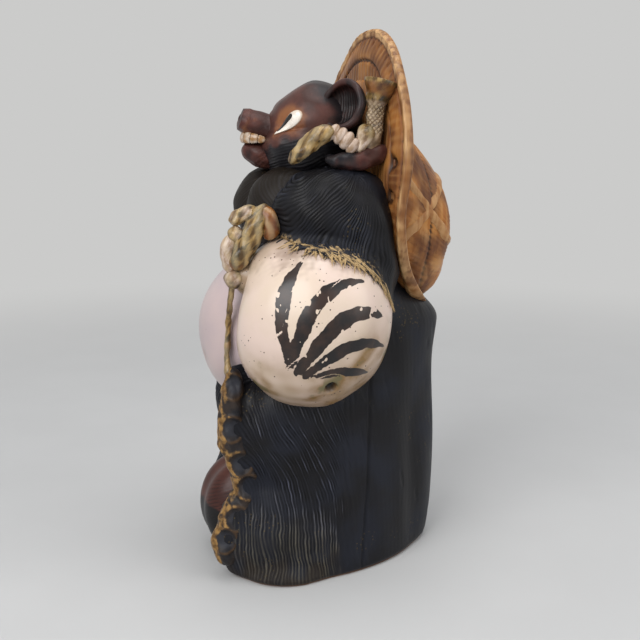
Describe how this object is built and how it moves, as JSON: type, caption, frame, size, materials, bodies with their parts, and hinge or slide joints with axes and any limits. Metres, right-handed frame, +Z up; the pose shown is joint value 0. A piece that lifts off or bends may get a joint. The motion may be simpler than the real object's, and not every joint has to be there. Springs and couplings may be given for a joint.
{
  "type": "tanuki statue",
  "caption": "Glazed stoneware raccoon-dog figure with a straw hat on its back and a sake flask under its arm, standing on an open foot rim as a garden or doorway ornament.",
  "frame": {"origin": "on the floor, on the body's centre line, in the plane of the foot rim", "axes": "+Z up; the figure faces -Y and its own left side, with the flask, is +X"},
  "size_m": [0.1947, 0.1875, 0.379],
  "materials": {
    "coat_glaze": "dark iron glaze over combed clay, satin to glossy",
    "belly_glaze": "thin milky white glaze, satin",
    "border_glaze": "ochre ash glaze breaking to dark brown in the hollows",
    "pouch_glaze": "reddish-brown iron glaze, glossy black at the foot",
    "face_glaze": "amber iron glaze, glossy",
    "flask_glaze": "crackled cream-white glaze with pin-holes, glossy",
    "white_glaze": "opaque white glaze, glossy",
    "straw_glaze": "ochre and orange-brown ash glaze, satin",
    "cord_glaze": "olive-yellow ash glaze with white slip, satin"
  },
  "bodies": {
    "root": {"body_front_shell": "coat_glaze", "body_rear_shell": "coat_glaze", "chest_ruff": "coat_glaze", "left_leg": "coat_glaze", "right_leg": "coat_glaze", "left_coat_flap": "coat_glaze", "right_coat_flap": "coat_glaze", "tail": "coat_glaze", "left_arm": "coat_glaze", "right_arm": "coat_glaze", "head_shell": "coat_glaze", "lower_jaw": "coat_glaze", "left_ear": "coat_glaze", "right_ear": "coat_glaze", "nose_tip": "coat_glaze", "belly_dome": "belly_glaze", "left_coat_border": "border_glaze", "right_coat_border": "border_glaze", "money_pouch": "pouch_glaze", "muzzle": "face_glaze", "flask_body": "flask_glaze", "flask_neck": "flask_glaze", "upper_teeth": "white_glaze", "left_eye": "white_glaze", "right_eye": "white_glaze", "hat_brim": "straw_glaze", "hat_crown": "straw_glaze", "crown_lashing": "straw_glaze", "flask_bow_main": "cord_glaze", "flask_bow_front": "cord_glaze", "flask_knot": "cord_glaze", "flask_cord_tail": "cord_glaze", "cord_leaf": "cord_glaze", "cord_turns": "cord_glaze", "cord_band": "cord_glaze", "cord_tassel": "cord_glaze", "cord_right": "cord_glaze"}
  },
  "joints": []
}
